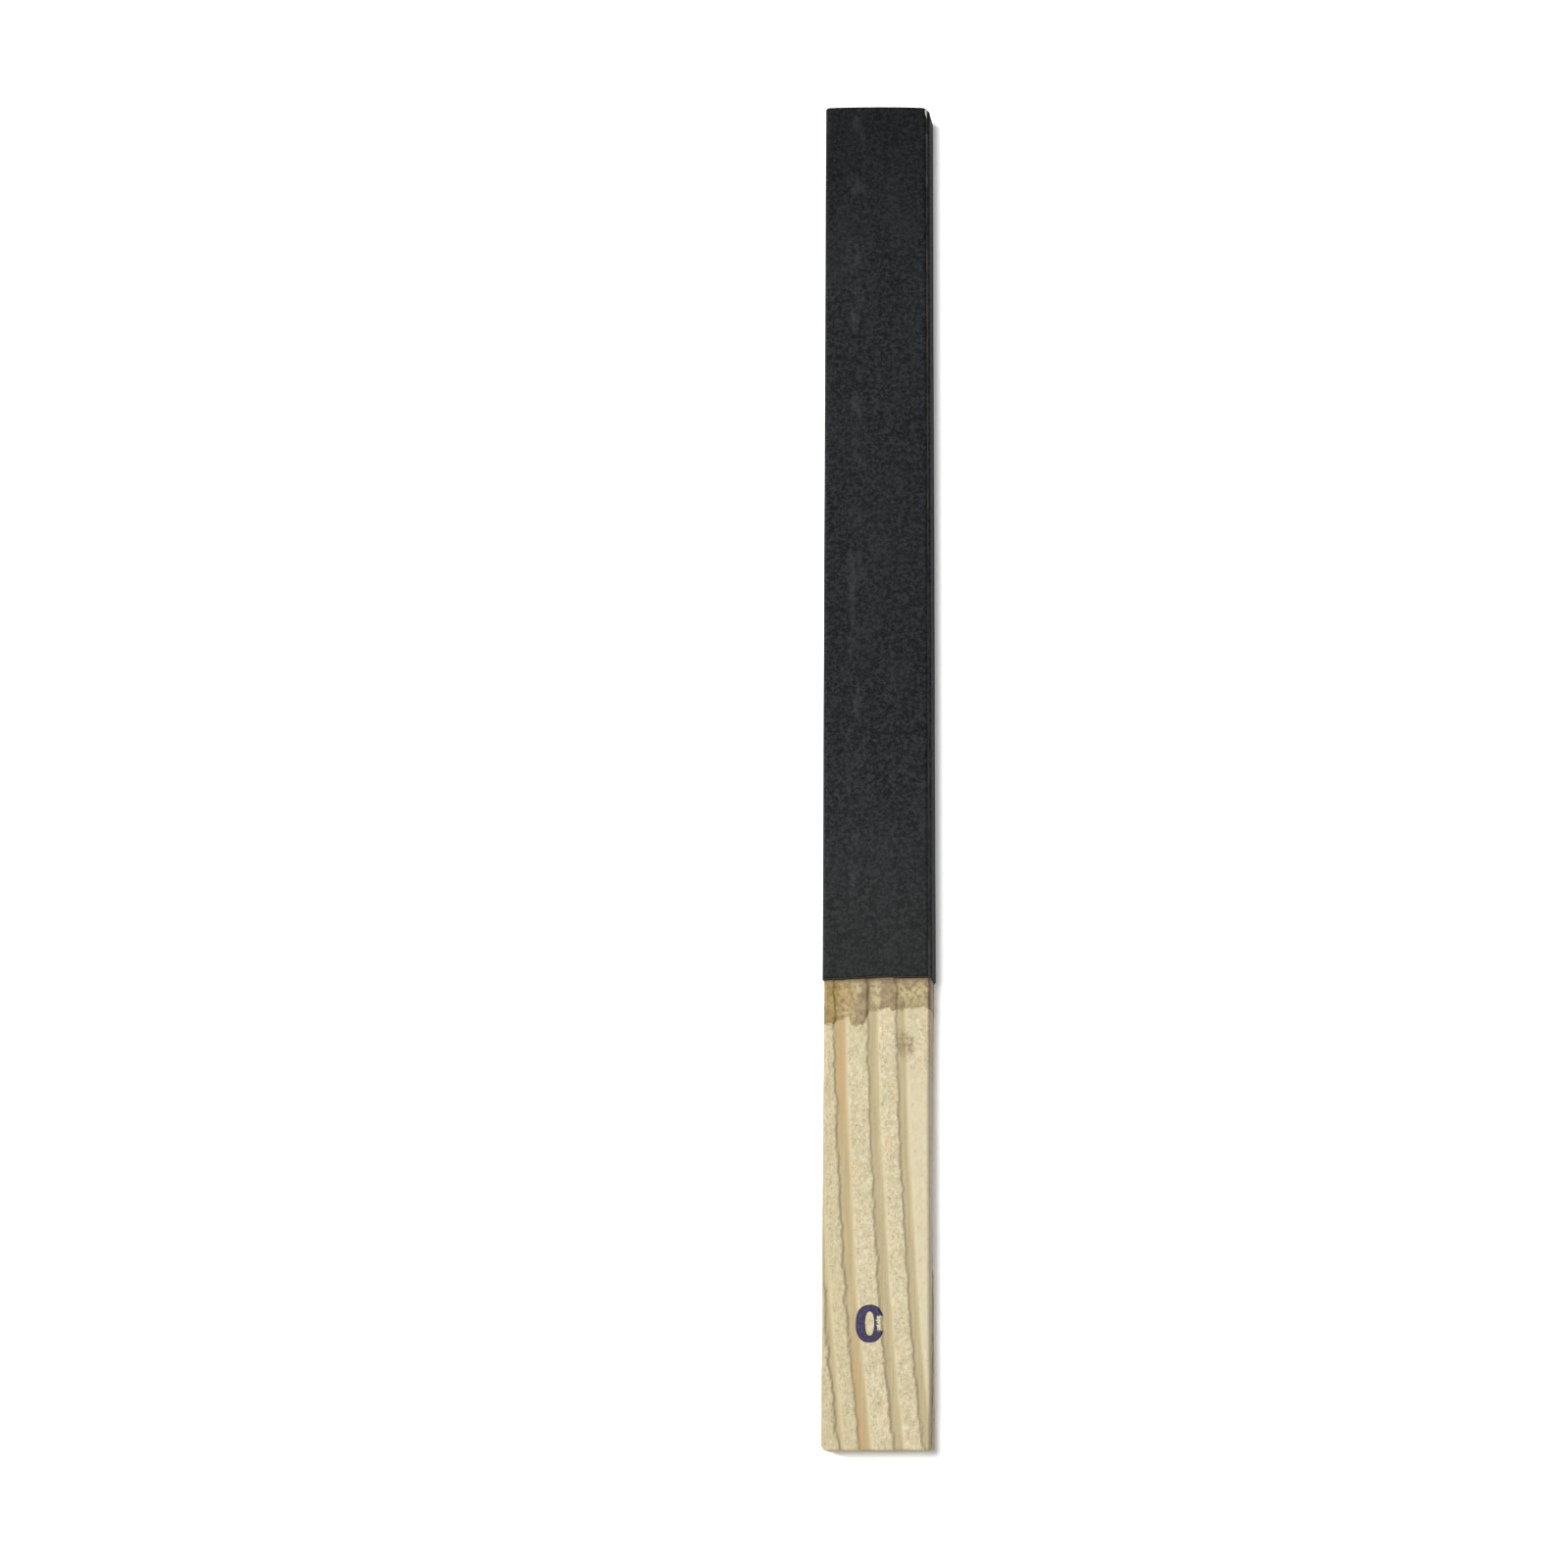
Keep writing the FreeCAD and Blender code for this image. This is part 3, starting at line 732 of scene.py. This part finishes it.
def make_lap_bead(finish):
    """The bead under the sheet's free end, stopping a little short of the sheet's own ends."""
    x, share = np.meshgrid(np.linspace(LAP_LOW[0], LAP_HIGH[0], 9), np.linspace(0.0, 1.0, 60))
    low = LAP_LOW[1] + LAP_INSET
    high = LAP_HIGH[1] - tip_crown(x) - LAP_INSET
    y = low + (high - low) * share
    outer = np.stack([x, y, np.full_like(x, LAP_HIGH[2])], axis=-1)
    inner = np.stack([x, y, np.full_like(x, LAP_LOW[2])], axis=-1)
    points, faces = slab(outer, inner, False)
    attributes = {"reach": np.full(len(points), 5.0)}
    return make_piece("lap_bead", points, faces, finish, "lap_glue", attributes)


def make_numeral(finish):
    """The stamped nought, laid over the wood's relief."""
    middle = (MARK_LOW + MARK_HIGH) / 2
    half = (MARK_HIGH - MARK_LOW) / 2
    turn = np.linspace(0.0, 2 * math.pi, NUMERAL_ROUNDS, endpoint=False)[None, :]
    share = np.linspace(0.0, 1.0, NUMERAL_RINGS)[:, None]
    cosine, sine = np.cos(turn), np.sin(turn)
    swing = np.sign(cosine) * np.abs(cosine) ** (2.0 / SQUARENESS)
    rise = np.sign(sine) * np.abs(sine) ** (2.0 / SQUARENESS)
    circle = np.stack([cosine, sine, 0 * sine], axis=-1).reshape(-1, 3)
    ragged = 1.0 + 0.02 * noise_at(circle, 0.35, 3.0)[None, :]
    x = middle[0] + swing * (COUNTER_HALF[0] + (half[0] * ragged - COUNTER_HALF[0]) * share)
    y = middle[1] + rise * (COUNTER_HALF[1] + (half[1] * ragged - COUNTER_HALF[1]) * share)
    flat = np.stack([x, y, np.full_like(x, SLAT_HIGH[2])], axis=-1)
    height, _ = wood_relief((flat + np.stack([bow(y), 0 * y, 0 * y], axis=-1)).reshape(-1, 3))
    outer, inner = flat.copy(), flat.copy()
    outer[..., 2] += height.reshape(x.shape) + INK_RISE
    inner[..., 2] += height.reshape(x.shape) - INK_SOAK
    points, faces = slab(outer, inner, True)
    edge = np.abs(share * 2 - 1) + 0 * x
    # The ink has rubbed thin half-way up the right stroke.
    worn = smooth(x - middle[0], 1.1, 2.2) * smooth(-np.abs(y - middle[1] - 0.1), -2.6, -1.2)
    attributes = {"edge": np.tile(edge.ravel(), 2), "worn": np.tile(worn.ravel(), 2)}
    return make_piece("grade_numeral", points, faces, finish, "grade_mark", attributes)


# ---- Scattered detail ----------------------------------------------------------------------------
FACING = 0.8  # a face counts as lying flat when its normal's Z is past this


class Tree:
    """A Geometry Nodes tree that starts from a piece's mesh, with named inputs for its sizes."""

    def __init__(self, name, sizes):
        self.group = bpy.data.node_groups.new(name, "GeometryNodeTree")
        self.group.interface.new_socket("Geometry", in_out="INPUT", socket_type="NodeSocketGeometry")
        self.group.interface.new_socket("Geometry", in_out="OUTPUT", socket_type="NodeSocketGeometry")
        self.sizes = {}
        for label, value in sizes.items():
            kind = "NodeSocketInt" if isinstance(value, int) else "NodeSocketFloat"
            socket = self.group.interface.new_socket(label, in_out="INPUT", socket_type=kind)
            self.sizes[socket.identifier] = value
        self.entry = self.group.nodes.new("NodeGroupInput")

    def node(self, kind, inputs=None, **settings):
        """Adds a node, sets it up, and feeds its inputs."""
        node = self.group.nodes.new(kind)
        for name, value in settings.items():
            setattr(node, name, value)
        for key, value in (inputs or {}).items():
            self.feed(node.inputs[key], value)
        return node

    def feed(self, socket, value):
        if isinstance(value, bpy.types.NodeSocket):
            self.group.links.new(value, socket)
        else:
            socket.default_value = value

    def size(self, label):
        """One of the tree's named inputs."""
        return self.entry.outputs[label]

    def maths(self, operation, *values):
        return self.node("ShaderNodeMath", dict(enumerate(values)), operation=operation).outputs[0]

    def axes(self, kind):
        """The X, Y and Z of every point's position or normal."""
        return self.node("ShaderNodeSeparateXYZ", {0: self.node(kind).outputs[0]}).outputs

    def draw(self, low, high):
        """A number between two others, drawn for each copy."""
        inputs = {"Seed": self.size("Seed"), 2: low, 3: high}
        return self.node("FunctionNodeRandomValue", inputs, data_type="FLOAT").outputs[1]

    def between(self, value, low, high):
        """1 where a value lies between two others, and 0 elsewhere."""
        above = self.maths("GREATER_THAN", value, low)
        return self.maths("MULTIPLY", above, self.maths("LESS_THAN", value, high))

    def scatter(self, where, shape, scales, turn, material):
        """Sets copies of a shape on the piece's faces, and ends the tree.

        where says from 0 to 1 how thickly. scales and turn give a copy's least and greatest size and turn.
        """
        density = self.maths("MULTIPLY", self.size("Density"), where)
        spots = self.node(
            "GeometryNodeDistributePointsOnFaces",
            {"Mesh": self.entry.outputs["Geometry"], "Density": density, "Seed": self.size("Seed")},
        )
        scale = self.draw(*scales)
        angle = self.node("ShaderNodeCombineXYZ", {"Z": self.draw(*turn)})
        turned = self.node(
            "FunctionNodeRotateRotation",
            {"Rotation": spots.outputs["Rotation"], "Rotate By": angle.outputs[0]},
            rotation_space="LOCAL",
        )
        copies = self.node(
            "GeometryNodeInstanceOnPoints",
            {
                "Points": spots.outputs["Points"],
                "Instance": shape,
                "Rotation": turned.outputs[0],
                "Scale": scale,
            },
        )
        real = self.node("GeometryNodeRealizeInstances", {"Geometry": copies.outputs[0]})
        painted = self.node("GeometryNodeSetMaterial", {"Geometry": real.outputs[0], "Material": material})
        self.node("NodeGroupOutput", {0: painted.outputs[0]})


def grow_piece(name, base, tree):
    """The plain mesh that a tree makes on a piece, as a piece of its own."""
    seed = bpy.data.objects.new(name, base.data.copy())
    bpy.context.scene.collection.objects.link(seed)
    modifier = seed.modifiers.new("scatter", "NODES")
    modifier.node_group = tree.group
    for identifier, value in tree.sizes.items():
        modifier[identifier] = value
    grown = bpy.data.meshes.new_from_object(seed.evaluated_get(bpy.context.evaluated_depsgraph_get()))
    seed.modifiers.clear()
    seed.data = grown
    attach(seed, "root")
    return seed


def fibre_shape(tree):
    """One torn fibre: a thin arc that leaves the wood and bends back to it, tapering to its tip."""
    length = tree.size("Length")
    bend = tree.node("ShaderNodeCombineXYZ", {"X": length, "Z": tree.size("Rise")})
    reach = tree.maths("MULTIPLY", length, 0.7)
    end = tree.node("ShaderNodeCombineXYZ", {"X": reach, "Y": reach, "Z": 0.0})
    arc = tree.node(
        "GeometryNodeCurveQuadraticBezier",
        {"Resolution": 4, "Start": (0.0, 0.0, -0.02 * MM), "Middle": bend.outputs[0], "End": end.outputs[0]},
    )
    along = tree.node("GeometryNodeSplineParameter")
    taper = tree.maths("SUBTRACT", 1.0, tree.maths("MULTIPLY", along.outputs["Factor"], 0.8))
    tapered = tree.node("GeometryNodeSetCurveRadius", {"Curve": arc.outputs[0], "Radius": taper})
    round_section = {"Resolution": 3, "Radius": tree.size("Thickness")}
    section = tree.node("GeometryNodeCurvePrimitiveCircle", round_section)
    fibre = tree.node(
        "GeometryNodeCurveToMesh",
        {"Curve": tapered.outputs[0], "Profile Curve": section.outputs[0], "Fill Caps": True},
    )
    return fibre.outputs[0]


def make_fibres(slat, finish):
    """Fibres that the saw has torn up on the pale bands of the handle, most of them lying along it."""
    sizes = {"Density": 1.5e6, "Length": 0.6 * MM, "Rise": 0.09 * MM, "Thickness": 0.028 * MM, "Seed": 7}
    tree = Tree("torn_fibres", sizes)
    nap, ring = (
        tree.node("GeometryNodeInputNamedAttribute", {"Name": name}, data_type="FLOAT").outputs[0]
        for name in ("nap", "ring")
    )
    place = tree.axes("GeometryNodeInputPosition")
    facing = tree.axes("GeometryNodeInputNormal")
    open_wood = tree.between(place["Y"], (BUTT + 1.0) * MM, (SHEET_EDGE - 12.0) * MM)
    flat = tree.maths("GREATER_THAN", tree.maths("ABSOLUTE", facing["Z"]), FACING)
    inked_across = tree.between(place["X"], (MARK_LOW[0] - 0.3) * MM, (MARK_HIGH[0] + 0.3) * MM)
    inked_along = tree.between(place["Y"], MARK_LOW[1] * MM, MARK_HIGH[1] * MM)
    inked = tree.maths("MULTIPLY", inked_across, inked_along)
    combed = tree.between(place["Y"], BUTT * MM, (SHEET_EDGE - 23.0) * MM)
    combed = tree.maths("MULTIPLY", combed, tree.maths("GREATER_THAN", ring, COMBED_RING - 0.5))
    where = tree.maths("MULTIPLY", tree.maths("MULTIPLY", open_wood, flat), nap)
    where = tree.maths("MULTIPLY", where, tree.maths("SUBTRACT", 1.0, inked))
    where = tree.maths("MULTIPLY", where, tree.maths("SUBTRACT", 1.0, tree.maths("MULTIPLY", combed, 0.8)))
    turn = (math.radians(40), math.radians(140))
    tree.scatter(where, fibre_shape(tree), scales=(0.4, 1.3), turn=turn, material=finish)
    return grow_piece("slat_fibres", slat, tree)


def make_grains(sheet, finish):
    """Coarser grains that stand proud of the grit."""
    sizes = {"Density": 0.45e6, "Radius": 0.045 * MM, "Seed": 11}
    tree = Tree("proud_grains", sizes)
    grain = tree.node("GeometryNodeMeshIcoSphere", {"Radius": tree.size("Radius"), "Subdivisions": 1})
    place = tree.axes("GeometryNodeInputPosition")
    facing = tree.axes("GeometryNodeInputNormal")
    worked = tree.between(place["Y"], (SHEET_EDGE + 2.0) * MM, (TIP - 2.0) * MM)
    height = place["Z"]
    faces_up = tree.maths("GREATER_THAN", facing["Z"], FACING)
    on_top = tree.maths("GREATER_THAN", height, (SHEET_HIGH[2] - COAT_DEPTH - 0.1) * MM)
    faces_down = tree.maths("LESS_THAN", facing["Z"], -FACING)
    under = tree.maths("LESS_THAN", height, (COAT_DEPTH + 0.1) * MM)
    top = tree.maths("MULTIPLY", faces_up, on_top)
    back = tree.maths("MULTIPLY", faces_down, under)
    where = tree.maths("MULTIPLY", worked, tree.maths("MAXIMUM", top, back))
    tree.scatter(where, grain.outputs["Mesh"], scales=(0.5, 1.2), turn=(0.0, math.pi), material=finish)
    return grow_piece("proud_grains", sheet, tree)


# ---- Stage ---------------------------------------------------------------------------------------
FLOOR_REACH = 6.0
AMBIENT = 0.15
LIGHT_SIZE, LIGHT_COLOUR = 0.5, (1.0, 0.99, 0.97)
KEY_PLACE, KEY_POWER = (-0.24, -0.02, 1.6), 30.0
SIDE_PLACE, SIDE_POWER = (-1.5, 0.4, 0.8), 23.0
CAMERA_PLACE = (0.1125, -0.2448, 0.9176)
CAMERA_TURN = (14.51, 8.41, 0.38)  # in degrees
CAMERA_LENS, CAMERA_SENSOR = 87.6, 36.0


def make_floor():
    """A white table, lit a little from within so that it stays white under the stick's lights."""
    finish = Finish("floor")
    tone = finish.noise(60.0, 2.0)
    white = finish.mix(tone, (0.9, 0.9, 0.91, 1.0), (0.92, 0.92, 0.92, 1.0))
    material = finish.set(Base_Color=white, Roughness=0.9, Emission_Color=white, Emission_Strength=0.3)
    mesh = bpy.data.meshes.new("floor")
    corners = [(x * FLOOR_REACH, y * FLOOR_REACH, 0) for x, y in ((-1, -1), (1, -1), (1, 1), (-1, 1))]
    mesh.from_pydata(corners, [], [(0, 1, 2, 3)])
    mesh.materials.append(material)
    floor = bpy.data.objects.new("floor", mesh)
    bpy.context.scene.collection.objects.link(floor)


def make_light(name, place, power):
    """A round soft light that faces the middle of the stick."""
    data = bpy.data.lights.new(name, "AREA")
    data.shape = "DISK"
    data.size = LIGHT_SIZE
    data.energy = power
    data.color = LIGHT_COLOUR
    lamp = bpy.data.objects.new(name, data)
    lamp.location = place
    lamp.rotation_euler = (-Vector(place)).to_track_quat("-Z", "Y").to_euler()
    bpy.context.scene.collection.objects.link(lamp)


def make_lights():
    """A key light over the stick, a lower one from its left, and a faint even sky."""
    world = bpy.data.worlds.new("studio")
    world.use_nodes = True
    background = next(node for node in world.node_tree.nodes if node.type == "BACKGROUND")
    background.inputs["Color"].default_value = (1.0, 1.0, 1.0, 1.0)
    background.inputs["Strength"].default_value = AMBIENT
    bpy.context.scene.world = world
    make_light("key", KEY_PLACE, KEY_POWER)
    make_light("side", SIDE_PLACE, SIDE_POWER)


def make_camera():
    """A long lens high over the stick, from the handle's end and a little to the right."""
    data = bpy.data.cameras.new("camera")
    data.sensor_width = CAMERA_SENSOR
    data.lens = CAMERA_LENS
    camera = bpy.data.objects.new("camera", data)
    camera.location = CAMERA_PLACE
    camera.rotation_euler = tuple(math.radians(turn) for turn in CAMERA_TURN)
    bpy.context.scene.collection.objects.link(camera)
    bpy.context.scene.camera = camera


def main():
    bpy.context.scene.view_settings.view_transform = "Standard"
    glue, softwood, emery = glue_finish(), softwood_finish(), emery_finish()
    make_fibres(make_slat(softwood), softwood)
    make_glue(glue)
    make_winding("sheet_backing", kraft_finish(), "paper_backing", 0.0, BACKING_DEPTH, 0.0)
    grit = make_winding(
        "sheet_grit", emery, "abrasive_coat", BACKING_DEPTH, COAT_DEPTH, COAT_SET_BACK
    )
    make_grains(grit, emery)
    make_numeral(ink_finish())
    make_lap_bead(glue)
    make_floor()
    make_lights()
    make_camera()


main()
